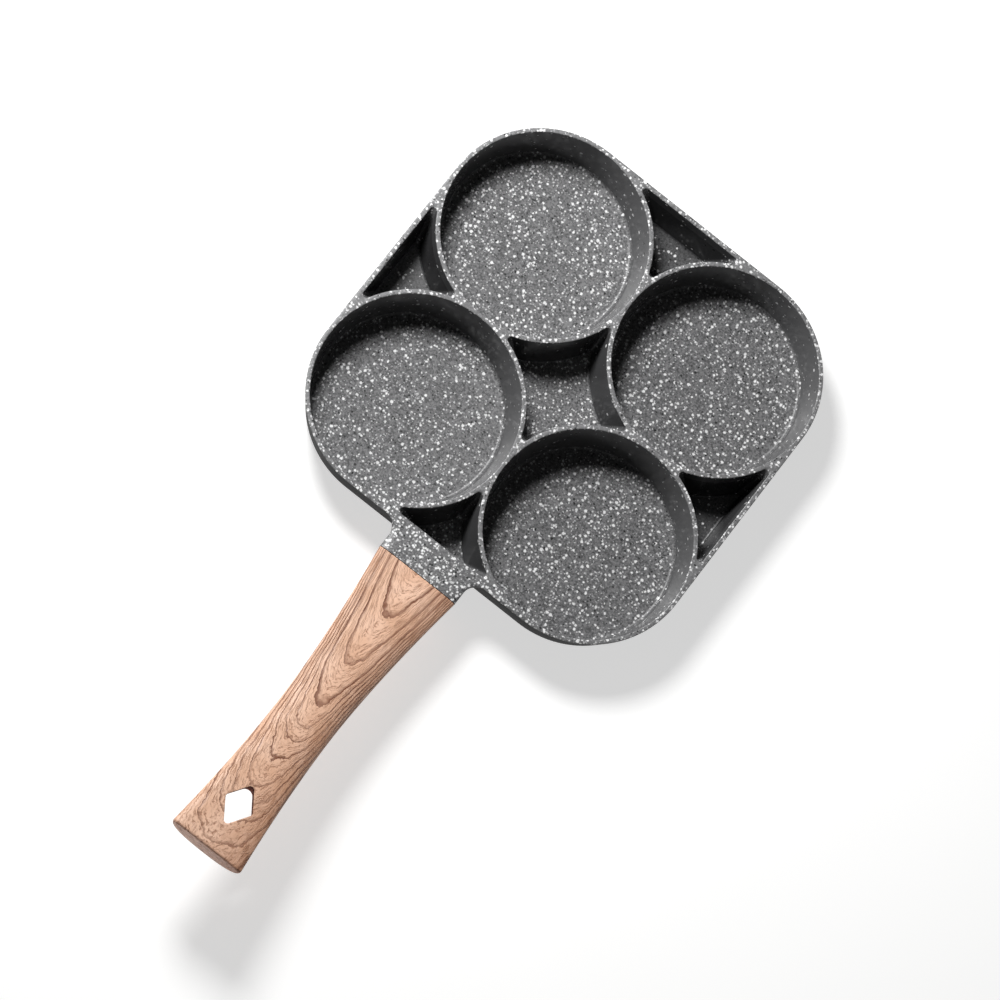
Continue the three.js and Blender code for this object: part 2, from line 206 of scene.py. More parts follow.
# %% [markdown]
# One soft lamp stands at the upper left of the picture. It leaves the inner walls on its own side
# dark and the opposite ones bright, and its distance was found from the length of the shadows in
# the cups. The sky is as pale as the floor at the horizon, so that low views have no dark edge, and
# weak above it, just enough to keep the shadows from going black.

# %% Lamp and sky
LAMP_PLACE, LAMP_WIDTH, LAMP_WATTS = Vector((-436.0, 179.0, 592.0)), 250.0, 7.8
HAZE_START, HAZE_END, SKY_FILL = 0.12, 0.22, 0.033

lamp_data = bpy.data.lights.new("key", "AREA")
lamp_data.shape = "DISK"
lamp_data.size = LAMP_WIDTH / MM_PER_METRE
lamp_data.energy = LAMP_WATTS
lamp = bpy.data.objects.new("key", lamp_data)
lamp.location = LAMP_PLACE / MM_PER_METRE
lamp.rotation_euler = (-LAMP_PLACE).to_track_quat("-Z", "Y").to_euler()
bpy.context.scene.collection.objects.link(lamp)

sky = bpy.data.worlds.new("studio")
sky.use_nodes = True
tree = sky.node_tree
background = tree.nodes["Background"]
background.inputs["Color"].default_value = tint("ffffff")
towards = add(tree, "TexCoord").node.outputs["Generated"]
rise = add(tree, "SeparateXYZ", [towards]).node.outputs["Z"]
glow = add(tree, "MapRange", [rise, HAZE_START, HAZE_END, FLOOR_GLOW, SKY_FILL])
tree.links.new(glow, background.inputs["Strength"])
bpy.context.scene.world = sky
bpy.context.scene.view_settings.view_transform = "Standard"
print("lamp distance:", round(LAMP_PLACE.length), "mm")

# %% [markdown]
# ## The casting
# The pan is cast aluminium, so every wall leans by the same draft angle and lets the casting
# leave its mould. The four cups stand on a square grid and their rims nearly touch. What is left
# between them is cast out as pockets: a star in the middle and a three-cornered pocket on each side.

# %% Sizes of the casting
HEIGHT = 25.0
CUP_RIM_RADIUS, CUP_DEPTH, CUP_BRIDGE, CUP_FLOOR_ROUND = 46.2, 20.9, 1.6, 2.0
RING_WALL, SIDE_WALL, NECK_SIDE_WALL = 2.0, 2.2, 3.7
DRAFT = math.radians(9.5)
RIM_ROUND, BASE_ROUND = 0.5, 6.0
POCKET_DEPTH, POCKET_CORNER, POCKET_FLOOR_ROUND = 20.6, 1.6, 1.2
HALF_PITCH = CUP_RIM_RADIUS + CUP_BRIDGE / 2
RING_RADIUS = CUP_RIM_RADIUS + RING_WALL
HALF_WIDTH = HALF_PITCH + RING_RADIUS
QUARTER = math.pi / 2
print("pan is", 2 * HALF_WIDTH, "mm wide before its rim is rounded")

# %% [markdown]
# A drafted wall is a list of pairs: how far a ring lies inside the rim, and its height. The floor
# meets the wall in a fillet. At the top the cutter flares out, which leaves the small round on
# the rims that catches the light.

# %% Drafted walls as (inset, height) pairs
ROUND_STEPS, CUT_PAST = 6, 2.0


def floor_round(floor_z, radius):
    touch = floor_z + radius - radius * math.sin(DRAFT)
    inset = (HEIGHT - touch) * math.tan(DRAFT) + radius * math.cos(DRAFT)
    turn = arc(0, floor_z + radius, radius, -QUARTER, -DRAFT, ROUND_STEPS)
    return [(inset - out, z) for out, z in turn]


def well_wall(depth, radius):
    wall = floor_round(HEIGHT - depth, radius)
    drop = RIM_ROUND * (1 - math.sin(DRAFT))
    out = RIM_ROUND * math.cos(DRAFT) - drop * math.tan(DRAFT)
    turn = arc(0, HEIGHT - RIM_ROUND, RIM_ROUND, math.pi - DRAFT, QUARTER, ROUND_STEPS)
    wall += [(-out - side, z) for side, z in turn]
    return wall + [(-out, HEIGHT + CUT_PAST)]


def outer_wall():
    wall = floor_round(0, BASE_ROUND)
    drop = RIM_ROUND * (1 + math.sin(DRAFT))
    inset = drop * math.tan(DRAFT) + RIM_ROUND * math.cos(DRAFT)
    turn = arc(0, HEIGHT - RIM_ROUND, RIM_ROUND, -DRAFT, QUARTER, ROUND_STEPS)
    return wall + [(inset - side, z) for side, z in turn]


cup_wall = well_wall(CUP_DEPTH, CUP_FLOOR_ROUND)
pocket_wall = well_wall(POCKET_DEPTH, POCKET_FLOOR_ROUND)
print("a cup narrows by", round(cup_wall[0][0], 1), "mm from its rim to its flat floor")

# %% [markdown]
# The outlines follow from the cups, so that no wall can come out thicker than another. The corners of
# the pan are arcs about the cup centres, and the straight sides join them.

# %% Outline of the pan
CORNER_STEPS = 48


def rounded_square(inset):
    corners = []
    for i, (sx, sy) in enumerate([(1, 1), (-1, 1), (-1, -1), (1, -1)]):
        start, end = i * QUARTER, (i + 1) * QUARTER
        corners.append(arc(sx * HALF_PITCH, sy * HALF_PITCH, RING_RADIUS - inset, start, end, CORNER_STEPS))
    return np.concatenate(corners)


base_inset, base_z = outer_wall()[0]
print("the flat base is", round(2 * rounded_square(base_inset)[:, 0].max(), 1), "mm wide at height", base_z)

# %% [markdown]
# A pocket runs along the rings of its cups, with a small round in each of its corners. Half of a side
# pocket is drawn and mirrored. The star is one point, turned four times.

# %% Outlines of the pockets
RING_STEPS, TIP_STEPS, POINT_STEPS = 30, 12, 20


def rotate(outline, angle):
    c, s = math.cos(angle), math.sin(angle)
    return outline @ np.array([[c, s], [-s, c]])


def side_pocket(inset, wall):
    ring = RING_RADIUS + inset
    reach = ring + POCKET_CORNER
    tip_y = -(HALF_WIDTH - wall - inset - POCKET_CORNER)
    tip_x = HALF_PITCH - math.sqrt(reach**2 - (tip_y + HALF_PITCH) ** 2)
    peak_y = -HALF_PITCH - math.sqrt(reach**2 - HALF_PITCH**2)
    to_tip = math.atan2(-HALF_PITCH - tip_y, HALF_PITCH - tip_x)
    to_peak = math.atan2(-HALF_PITCH - peak_y, HALF_PITCH)
    half = np.concatenate([
        arc(tip_x, tip_y, POCKET_CORNER, -QUARTER, to_tip, TIP_STEPS),
        arc(HALF_PITCH, -HALF_PITCH, ring, math.pi + to_tip, math.pi + to_peak, RING_STEPS)[1:-1],
        arc(0, peak_y, POCKET_CORNER, to_peak, QUARTER, TIP_STEPS),
    ])
    mirrored = half[:-1][::-1] * (-1, 1)
    return np.concatenate([half, mirrored])


def middle_pocket(inset):
    ring = RING_RADIUS + inset
    rise = math.sqrt((ring + POCKET_CORNER) ** 2 - HALF_PITCH**2)
    lean = math.atan2(rise, HALF_PITCH)
    point = np.concatenate([
        arc(0, rise - HALF_PITCH, POCKET_CORNER, math.pi + lean, 2 * math.pi - lean, POINT_STEPS),
        arc(HALF_PITCH, -HALF_PITCH, ring, math.pi - lean, QUARTER + lean, RING_STEPS)[1:-1],
    ])
    return np.concatenate([rotate(point, i * QUARTER) for i in range(4)])


print("the star in the middle is", round(2 * middle_pocket(0)[:, 1].max(), 1), "mm from point to point")

# %% [markdown]
# ## One family of sections for neck and handle
# The neck of the casting and the handle meet flush, so they share their section: a flat crowned
# top with tight shoulders over a full belly. The top line leaves the rim nearly level and rises to the
# tail. In the grip the top is rounder, which suits a palm.

# %% Sizes of neck and handle
NECK_LENGTH = 12.8
HANDLE_LENGTH, HANDLE_RISE = 154.0, 21.0
JOINT_HALF, WAIST_HALF, TAIL_HALF, WAIST_SHARE = 20.2, 13.8, 17.9, 0.53
JOINT_THICK, TAIL_THICK = 20.0, 15.0
CROWN, GRIP_CROWN = 2.2, 5.5
TOP_POWER, GRIP_POWER, BELLY_POWER = 6.0, 3.2, 2.4
START_SLOPE, END_SLOPE = 0.06, 0.08
FRONT_POWER, BACK_POWER = 1.7, 1.9
JOINT_Y = -(HALF_WIDTH + NECK_LENGTH)
TAIL_Y = JOINT_Y - HANDLE_LENGTH
SECTION_STEPS = 128
print("the handle runs from y =", JOINT_Y, "to", TAIL_Y, "mm")


# %% Top line, width and thickness
def top_line(y):
    run = NECK_LENGTH + HANDLE_LENGTH
    u = np.clip((-HALF_WIDTH - y) / run, 0, 1)
    leave = START_SLOPE * run * (u**3 - 2 * u**2 + u)
    arrive = END_SLOPE * run * (u**3 - u**2)
    return HEIGHT + HANDLE_RISE * (3 * u**2 - 2 * u**3) + leave + arrive


def half_width(y):
    u = (JOINT_Y - y) / HANDLE_LENGTH
    front = np.clip((WAIST_SHARE - u) / WAIST_SHARE, 0, None) ** FRONT_POWER
    back = np.clip((u - WAIST_SHARE) / (1 - WAIST_SHARE), 0, None) ** BACK_POWER
    return WAIST_HALF + front * (JOINT_HALF - WAIST_HALF) + back * (TAIL_HALF - WAIST_HALF)


def thickness(y):
    u = np.clip((JOINT_Y - y) / HANDLE_LENGTH, 0, 1)
    return JOINT_THICK + (TAIL_THICK - JOINT_THICK) * u


print("handle tail is", round(float(top_line(TAIL_Y)), 1), "mm above the floor")

# %% [markdown]
# A section is a rounded oblong. The higher its power, the squarer it is: its top half is squarer than
# its belly, and squarer at both ends of the handle than in the grip.


# %% Crown and section
def grip(y):
    """0 at both ends of the handle, 1 at the middle of the grip, where the top is rounder."""
    return np.sin(math.pi * np.clip((JOINT_Y - y) / HANDLE_LENGTH, 0, 1)) ** 2


def crown_at(y):
    return CROWN + (GRIP_CROWN - CROWN) * grip(y)


def section(y, half, thick, crown, top_power, shrink=0.0):
    turn = np.linspace(0, 2 * math.pi, SECTION_STEPS, endpoint=False)
    c, s = np.cos(turn), np.sin(turn)
    upper = s >= 0
    power = np.where(upper, 2 / top_power, 2 / BELLY_POWER)
    x = (half - shrink) * np.sign(c) * np.abs(c) ** power
    rise = (crown - shrink) * np.abs(s) ** (2 / BELLY_POWER)
    fall = (thick - crown - shrink) * np.abs(s) ** power
    z = top_line(y) - crown + np.where(upper, rise, -fall)
    return np.column_stack([x, np.full(SECTION_STEPS, y), z])


waist_y = JOINT_Y - WAIST_SHARE * HANDLE_LENGTH
print("crown of the top at the waist:", round(float(crown_at(waist_y)), 1), "mm")

# %% [markdown]
# ## Casting the pan
# The outside and the neck are lofted and joined, and then the cups and pockets are cut out of them,
# as cores keep the metal out of a mould. Boolean modifiers do both, and each is applied at once. The
# faces could be stitched by hand instead, but cutting leaves every wall as thick as its sizes say.


# %% Joining, cutting and the outside
def combine(obj, other, operation):
    """Join or cut obj with other, which is used up."""
    change = obj.modifiers.new(operation.lower(), "BOOLEAN")
    change.operation = operation
    change.solver = "EXACT"
    change.object = other
    shown = obj.evaluated_get(bpy.context.evaluated_depsgraph_get())
    fresh = bpy.data.meshes.new_from_object(shown)
    obj.modifiers.clear()
    obj.data = fresh
    bpy.data.objects.remove(other)


NECK_FILLET, NECK_ROOT_POWER = 6.5, 12.0
NECK_STATIONS, NECK_OVERLAP, NECK_LIFT = 40, 1.2, 0.01

pan = loft("pan", [level(rounded_square(inset), z) for inset, z in outer_wall()])
neck_rings = []
for share in np.linspace(0, 1, NECK_STATIONS):
    y = -(HALF_WIDTH - NECK_OVERLAP) + share * (JOINT_Y + HALF_WIDTH - NECK_OVERLAP)
    clear = float(np.clip(-HALF_WIDTH - y, 0, NECK_FILLET))
    flare = NECK_FILLET - math.sqrt(NECK_FILLET**2 - (NECK_FILLET - clear) ** 2)
    crown = RIM_ROUND + (CROWN - RIM_ROUND) * share
    top_power = NECK_ROOT_POWER + (TOP_POWER - NECK_ROOT_POWER) * share
    ring = section(y, JOINT_HALF + flare, JOINT_THICK, crown, top_power)
    ring[:, 1] += (1 - share) * (top_line(y) - ring[:, 2]) * math.tan(DRAFT)
    neck_rings.append(ring + (0, 0, NECK_LIFT))
combine(pan, loft("neck", neck_rings), "UNION")
print("pan and neck:", len(pan.data.polygons), "faces")

# %% Cups and pockets
CUP_STEPS = 192

for sx in (-1, 1):
    for sy in (-1, 1):
        cup_rings = []
        for inset, z in cup_wall:
            outline = circle(sx * HALF_PITCH, sy * HALF_PITCH, CUP_RIM_RADIUS - inset, CUP_STEPS)
            cup_rings.append(level(outline, z))
        combine(pan, loft("cup", cup_rings), "DIFFERENCE")

star_rings = [level(middle_pocket(inset), z) for inset, z in pocket_wall]
combine(pan, loft("pocket", star_rings), "DIFFERENCE")
for i in range(4):
    wall = NECK_SIDE_WALL if i == 0 else SIDE_WALL
    rings = [level(rotate(side_pocket(inset, wall), i * QUARTER), z) for inset, z in pocket_wall]
    combine(pan, loft("pocket", rings), "DIFFERENCE")
print("with cups and pockets:", len(pan.data.polygons), "faces")

# %% [markdown]
# The tang is the tongue of the casting inside the handle. It stays hidden, but without it
# the handle would have nothing to hold on to. Its socket in the handle is the same shape, grown
# by the fit.

# %% Tang
FIT = 0.3
TANG_LENGTH, TANG_WIDTH, TANG_TIP_WIDTH, TANG_HEIGHT = 45.0, 22.0, 19.0, 6.0
TANG_COVER, TANG_ROOT = 4.5, 4.0
SCREW_SHARE, BORE_RADIUS, ROD_STEPS = 0.56, 2.8, 48
PAN_EDGE = 32
SCREW_Y = JOINT_Y - SCREW_SHARE * TANG_LENGTH


def tang(name, grow):
    root_y = JOINT_Y + (FIT if grow else TANG_ROOT)
    rings = []
    for y, width in ((root_y, TANG_WIDTH), (JOINT_Y - TANG_LENGTH - grow, TANG_TIP_WIDTH)):
        half, high = width / 2 + grow, float(top_line(y)) - TANG_COVER + grow
        low = high - TANG_HEIGHT - 2 * grow
        rings.append(np.array([(half, y, low), (half, y, high), (-half, y, high), (-half, y, low)]))
    return loft(name, rings)


def rod(name, radius, low, high, y):
    return loft(name, [level(circle(0, y, radius, ROD_STEPS), z) for z in (low, high)])


def smooth(obj, angle):
    """Smooth shading that keeps every edge sharper than the angle."""
    obj.data.shade_smooth()
    obj.data.set_sharp_from_angle(angle=math.radians(angle))
    print(obj.name, len(obj.data.polygons), "faces")


tang_top = float(top_line(SCREW_Y)) - TANG_COVER
tang_low = tang_top - TANG_HEIGHT
combine(pan, tang("tang", 0.0), "UNION")
combine(pan, rod("tapping", BORE_RADIUS, tang_low - CUT_PAST, tang_top + CUT_PAST, SCREW_Y), "DIFFERENCE")
smooth(pan, PAN_EDGE)

# %% [markdown]
# ## Speckled non-stick coating
# A charcoal base coat is misted with grey, then flecked with white and black. The spray comes from
# above, so level faces take the full fleck, the steep walls take few and stay smoother, and the
# outside gets none. Most of it lands on the neck and the rims, and the rims also get a painted
# highlight: a lighter grey. A picture of the speckle would stretch on the walls, so the flecks are
# small balls in space that the surface cuts.

# %% Where the spray reaches
STEEP, GENTLE = 0.15, 0.85
OVERHANG, UPRIGHT = -0.05, 0.12
NECK_FROM, NECK_FULL = -86.0, -96.0
RIM_FROM, RIM_FULL, RIM_LIGHT, NECK_LIGHT = HEIGHT - 1.2, HEIGHT - 0.2, 0.4, 0.12
PATCH, NOISE_LOW, NOISE_HIGH = 16.67, 0.35, 0.65
THIN_SPRAY, FULL_SPRAY = 0.82, 1.1

# Non-stick coating, sprayed and baked on cast metal: a satin stone look with a fine orange peel.
coat, tree, mm = new_material("speckled_nonstick_coating")
at = add(tree, "SeparateXYZ", [mm]).node.outputs
facing = add(tree, "NewGeometry").node.outputs["Normal"]
lean = add(tree, "SeparateXYZ", [facing]).node.outputs["Z"]
sprayed = add(tree, "MapRange", [lean, STEEP, GENTLE, 0.0, 1.0], interpolation_type="SMOOTHSTEP")
inside = add(tree, "MapRange", [lean, OVERHANG, UPRIGHT, 0.0, 1.0], interpolation_type="SMOOTHSTEP")
on_neck = add(tree, "MapRange", [at["Y"], NECK_FROM, NECK_FULL, 0.0, 1.0])
on_neck = add(tree, "Math", [on_neck, sprayed], operation="MULTIPLY")
# This rim mask sets both more flecks and a painted highlight: a lighter grey on the rims, a little on the
# neck.
rim_flecks_and_highlight = add(tree, "MapRange", [at["Z"], RIM_FROM, RIM_FULL, 0.0, RIM_LIGHT])
rim_flecks_and_highlight = add(tree, "MapRange", [on_neck, 0.0, 1.0, rim_flecks_and_highlight, NECK_LIGHT])
patchy = add(tree, "TexNoise", {"Vector": mm, "Scale": 1 / PATCH, "Detail": 2.0})
patchy = add(tree, "MapRange", [patchy, NOISE_LOW, NOISE_HIGH, THIN_SPRAY, FULL_SPRAY])
print("patches of thinner spray are about", PATCH, "mm apart")

# %% [markdown]
# The walls of the cups catch a little of the spray and those of the pockets hardly any. The floors of
# the three side pockets away from the neck get painted shade: a darker base and fewer flecks. Both are
# found from the place alone: outside the rings of the cups, and inside the side walls.

# %% Walls and side pockets
# The third of these thins the flecks on the side pocket floors, as painted shade.
CUP_WALL_SPRAY, POCKET_WALL_SPRAY, POCKET_SHADE_FLECKS = 0.09, 0.02, 0.4
POCKET_SHADE_DEPTH = 5.0
MID_WALL = HALF_WIDTH - HEIGHT * math.tan(DRAFT) - SIDE_WALL / 2

folded = add(tree, "VectorMath", [mm], operation="ABSOLUTE")
from_cup = add(tree, "VectorMath", [folded, (HALF_PITCH, HALF_PITCH, 0.0)], operation="SUBTRACT")
from_cup = add(tree, "VectorMath", [from_cup, (1.0, 1.0, 0.0)], operation="MULTIPLY")
from_cup = add(tree, "VectorMath", [from_cup], operation="LENGTH").node.outputs["Value"]
between = add(tree, "Math", [from_cup, RING_RADIUS], operation="GREATER_THAN")
few = add(tree, "MapRange", [between, 0.0, 1.0, CUP_WALL_SPRAY, POCKET_WALL_SPRAY])
few = add(tree, "Math", [inside, few], operation="MULTIPLY")
spray = add(tree, "MapRange", [sprayed, 0.0, 1.0, few, patchy])

apart = add(tree, "SeparateXYZ", [folded]).node.outputs
outermost = add(tree, "Math", [apart["X"], apart["Y"]], operation="MAXIMUM")
drafted = add(tree, "Math", [at["Z"], -math.tan(DRAFT), outermost], operation="MULTIPLY_ADD")
# This mask picks out the floors of the side pockets for painted shade.
pocket_shade_mask = add(tree, "Math", [inside, between], operation="MULTIPLY")
for value, limit, test in ((outermost, HALF_PITCH, "GREATER_THAN"), (drafted, MID_WALL, "LESS_THAN"),
                           (at["Y"], -HALF_PITCH, "GREATER_THAN"),
                           (at["Z"], HEIGHT - POCKET_SHADE_DEPTH, "LESS_THAN")):
    passed = add(tree, "Math", [value, limit], operation=test)
    pocket_shade_mask = add(tree, "Math", [pocket_shade_mask, passed], operation="MULTIPLY")
# Painted shade: fewer flecks on the floors of the side pockets.
shaded_spray = add(tree, "Math", [spray, POCKET_SHADE_FLECKS], operation="MULTIPLY")
spray = add(tree, "MapRange", [pocket_shade_mask, 0.0, 1.0, spray, shaded_spray])
print("nodes for the spray:", len(tree.nodes))

# %% [markdown]
# A fleck is a ball in one cell of a Voronoi texture: the colour of the cell decides by chance
# whether it is there, how large it is and how strong. A fine noise bends the balls out of round.
# Each layer has its own cell size, because equal cells would put two layers in the same places.

# %% Flecks
WOBBLE, WOBBLE_SIZE, FLECK_EDGE, RIM_FLECKS = 0.9, 0.714, 0.25, 1.6

wobble = add(tree, "TexNoise", {"Vector": mm, "Scale": 1 / WOBBLE_SIZE, "Detail": 2.0}).node.outputs["Color"]
shift = add(tree, "VectorMath", [wobble, (0.5, 0.5, 0.5)], operation="SUBTRACT")
warped = add(tree, "VectorMath", [shift, (WOBBLE, WOBBLE, WOBBLE), mm], operation="MULTIPLY_ADD")


def flecks(where, cell, share, small, large, faint):
    """Mask of flecks: cells and radii in mm, share of cells with a fleck, strength of the faintest."""
    cells = add(tree, "TexVoronoi", {"Vector": warped, "Scale": 1 / cell}).node
    pick = add(tree, "SeparateColor", [cells.outputs["Color"]]).node.outputs
    cover = add(tree, "Math", [where, share], operation="MULTIPLY")
    there = add(tree, "Math", [pick["Green"], cover], operation="LESS_THAN")
    radius = add(tree, "MapRange", [pick["Red"], 0.0, 1.0, small / cell, large / cell])
    depth = add(tree, "Math", [radius, cells.outputs["Distance"]], operation="SUBTRACT")
    strength = add(tree, "MapRange", [pick["Blue"], 0.0, 1.0, faint, 1.0])
    edge = add(tree, "MapRange", [depth, 0.0, FLECK_EDGE / cell, 0.0, strength])
    return add(tree, "Math", [edge, there], operation="MULTIPLY")


on_edges = add(tree, "Math", [rim_flecks_and_highlight, RIM_FLECKS, spray], operation="MULTIPLY_ADD")
small_white = flecks(on_edges, cell=1.14, share=0.48, small=0.31, large=0.56, faint=0.15)
large_white = flecks(on_edges, cell=1.70, share=0.45, small=0.48, large=0.87, faint=0.50)
neck_white = flecks(on_neck, cell=1.50, share=0.85, small=0.45, large=0.78, faint=0.55)
black = flecks(sprayed, cell=1.35, share=0.19, small=0.40, large=0.68, faint=0.85)
print("nodes with the flecks:", len(tree.nodes))

# %% [markdown]
# The coats go over each other as they do in the paint shop: soot on the outside, plain grey on the
# inner walls, mist on level faces, then the flecks. Steep inner walls are shinier, because less dry
# mist lands on them. The outside is dull.

# %% Coats
MIST_SIZE, MIST_LOW, MIST_HIGH = 0.909, 0.38, 0.62
PEEL_SIZE, PEEL_HEIGHT, PEEL_STRENGTH = 1.111, 0.04, 0.25
# Painted shade: how far the side pocket floors are darkened.
POCKET_PAINTED_SHADE = 0.6
OUTSIDE_ROUGH, WALL_ROUGH, FLOOR_ROUGH = 0.6, 0.13, 0.42
OUTSIDE_SHINE, INSIDE_SHINE = 0.08, 0.5

mist = add(tree, "TexNoise", {"Vector": mm, "Scale": 1 / MIST_SIZE, "Detail": 2.0, "Roughness": 0.65})
misted = add(tree, "MapRange", [mist, MIST_LOW, MIST_HIGH, 0.0, 1.0])
grey = add(tree, "MixRGB", [misted, tint("484849"), tint("7a7a7b")])
# Painted highlight: the rims, and a little of the neck, are mixed towards a lighter grey.
grey = add(tree, "MixRGB", [rim_flecks_and_highlight, grey, tint("8c8c8d")])
soot = add(tree, "MixRGB", [mist, tint("09090a"), tint("19191a")])
# The pocket walls are a darker grey than the cup walls: painted shade in the deep pockets.
wall = add(tree, "MixRGB", [between, tint("5e5e5f"), tint("484849")])
wall = add(tree, "MixRGB", [inside, soot, wall])
base = add(tree, "MixRGB", [sprayed, wall, grey])
# Painted shade: the floors of the side pockets are darkened towards 2c2c2d.
pocket_shade_amount = add(tree, "Math", [pocket_shade_mask, POCKET_PAINTED_SHADE], operation="MULTIPLY")
base = add(tree, "MixRGB", [pocket_shade_amount, base, tint("2c2c2d")])
for mask, colour in ((small_white, "dadadb"), (large_white, "fafafa"),
                     (neck_white, "f6f6f6"), (black, "0f0f10")):
    base = add(tree, "MixRGB", [mask, base, tint(colour)])

peel = add(tree, "TexNoise", {"Vector": mm, "Scale": 1 / PEEL_SIZE, "Detail": 2.0})
bump = add(tree, "Bump", {"Strength": PEEL_STRENGTH, "Distance": PEEL_HEIGHT / MM_PER_METRE, "Height": peel})
rough = add(tree, "MapRange", [inside, 0.0, 1.0, OUTSIDE_ROUGH, WALL_ROUGH])
rough = add(tree, "MapRange", [sprayed, 0.0, 1.0, rough, FLOOR_ROUGH])
shine = add(tree, "MapRange", [inside, 0.0, 1.0, OUTSIDE_SHINE, INSIDE_SHINE])
finish_material(coat, {"Base Color": base, "Roughness": rough, "IOR": 1.5, "Specular IOR Level": shine,
                       "Normal": bump})
pan.data.materials.append(coat)

# %% [markdown]
# ## The handle
# It is moulded in phenolic, so it has no seams on its top. The sections of the neck go on along its
# length, and the last few shrink to round the tail. A box under a subdivision modifier would be as
# smooth, but it would not meet the neck flush.

# %% Handle body
END_ROUND, HANDLE_STATIONS, END_STATIONS = 1.2, 180, 8

stations = [(y, 0.0) for y in np.linspace(JOINT_Y - FIT, TAIL_Y + END_ROUND, HANDLE_STATIONS)]
for turn in np.linspace(0, QUARTER, END_STATIONS)[1:]:
    stations.append((TAIL_Y + END_ROUND * (1 - math.sin(turn)), END_ROUND * (1 - math.cos(turn))))
handle_rings = []
for y, shrink in stations:
    top_power = TOP_POWER + (GRIP_POWER - TOP_POWER) * grip(y)
    handle_rings.append(section(y, half_width(y), thickness(y), crown_at(y), top_power, shrink))
handle = loft("handle_wood_print", handle_rings)
print("handle:", len(handle.data.polygons), "faces before its cuts")

# %% [markdown]
# The lozenge near the tail is for a hook. It widens a little downwards, as a moulded hole does. A
# plain prism would cut knife edges, so the cutter flares where it meets the top and the belly.

# %% Hanging hole
HOLE_HALF_WIDTH, HOLE_HALF_LENGTH, HOLE_CORNER, HOLE_EASE = 7.0, 11.0, 1.5, 0.4
HOLE_FROM_TAIL, HOLE_DRAFT = 22.9, math.radians(6.0)
HOLE_PAST, EASE_STEPS, HOLE_CORNER_STEPS = 3.0, 6, 8
HOLE_Y = TAIL_Y + HOLE_FROM_TAIL


def belly(x, y):
    """Height of the underside of the handle."""
    share = np.clip(np.abs(x) / half_width(y), 0, 1)
    drop = (thickness(y) - crown_at(y)) * (1 - share**BELLY_POWER) ** (1 / BELLY_POWER)
    return top_line(y) - crown_at(y) - drop


def lozenge(offset):
    side = math.hypot(HOLE_HALF_WIDTH, HOLE_HALF_LENGTH)
    wide = math.atan2(HOLE_HALF_WIDTH, HOLE_HALF_LENGTH)
    near_x = HOLE_HALF_WIDTH - HOLE_CORNER * side / HOLE_HALF_LENGTH
    near_y = HOLE_HALF_LENGTH - HOLE_CORNER * side / HOLE_HALF_WIDTH
    corners = []
    for i, (x, y, half) in enumerate([(near_x, 0, wide), (0, near_y, QUARTER - wide),
                                      (-near_x, 0, wide), (0, -near_y, QUARTER - wide)]):
        start, end = i * QUARTER - half, i * QUARTER + half
        corners.append(arc(x, y, HOLE_CORNER + offset, start, end, HOLE_CORNER_STEPS))
    return np.concatenate(corners) + (0, HOLE_Y)


eased = [(HOLE_EASE, -HOLE_PAST)]
for turn in np.linspace(0, QUARTER, EASE_STEPS):
    eased.append((HOLE_EASE * (1 - math.sin(turn)), HOLE_EASE * (1 - math.cos(turn))))
hole_rings = []
for above, steps in ((False, eased), (True, reversed(eased))):
    for offset, depth in steps:
        middle = top_line(HOLE_Y) - depth if above else belly(0.0, HOLE_Y) + depth
        outline = lozenge(offset + (top_line(HOLE_Y) - middle) * math.tan(HOLE_DRAFT))
        x, y = outline[:, 0], outline[:, 1]
        z = top_line(y) - depth if above else belly(x, y) + depth
        hole_rings.append(np.column_stack([outline, z]))
combine(handle, loft("hanging_hole", hole_rings), "DIFFERENCE")
print("hole is", 2 * HOLE_HALF_WIDTH, "x", 2 * HOLE_HALF_LENGTH, "mm")

# %% [markdown]
# Below, a counterbore takes the screw and its washers, and a bore leads on to the tang.

# %% Socket and bores
SEAT_WEB, COUNTERBORE_RADIUS, HANDLE_EDGE = 2.5, 5.3, 35
SEAT = tang_low - FIT - SEAT_WEB

combine(handle, tang("socket", FIT), "DIFFERENCE")
combine(handle, rod("counterbore", COUNTERBORE_RADIUS, 0.0, SEAT, SCREW_Y), "DIFFERENCE")
combine(handle, rod("bore", BORE_RADIUS, SEAT - CUT_PAST, tang_top - FIT, SCREW_Y), "DIFFERENCE")
smooth(handle, HANDLE_EDGE)

# %% [markdown]
# The printed grain wraps round the handle. Each point gets a girth number: 0 along the middle of the
# top, 1 at the shoulder and 2 under the belly, so that the print can follow the shape. A side
# number runs from -1 on the left to 1 on the right.

# %% Girth and side of every point
SKIN_SHARE, BELLY_SHARE = 0.93, 0.8

points = np.array([v.co for v in handle.data.vertices]) * MM_PER_METRE
x, y, z = points.T
side = x / half_width(y)
shoulder = top_line(y) - crown_at(y)
drop = np.clip((shoulder - z) / (thickness(y) - crown_at(y)), 0, 1)
skin = np.abs(side) > SKIN_SHARE * (1 - drop**BELLY_POWER) ** (1 / BELLY_POWER)
low_side = (drop > 0) & (skin | (drop > BELLY_SHARE))
girth = np.where(low_side, 1 + drop * (2 - np.abs(side)) / 2, np.abs(side))
for name, values in (("girth", girth), ("side", side)):
    attribute = handle.data.attributes.new(name, "FLOAT", "POINT")
    attribute.data.foreach_set("value", values.astype(np.float32))
print("girth runs from", girth.min().round(2), "to", girth.max().round(2))

# %% [markdown]
# ## Wood print
# A flat-sawn board shows nested arches where the saw meets the cone of the growth rings. Here the
# arches are level lines of one number: the distance from the joint plus a term that grows with girth.
# A ring texture on a bent axis could give arches too, but not ones that keep to the shape of the handle.

# %% Growth rings
WANDER_SIZE, WANDER = 18.18, 14.0
JITTER_SIZE, JITTER = 2.222, 4.0
SWAY, ARCH_POWER, ARCH_REACH, REACH_LOSS = 0.07, 2.3, 106.0, 0.66
FIRST_RING, WIDE_END, WIDE_RING, NARROW_RING = 9.0, 75.0, 25.0, 10.6

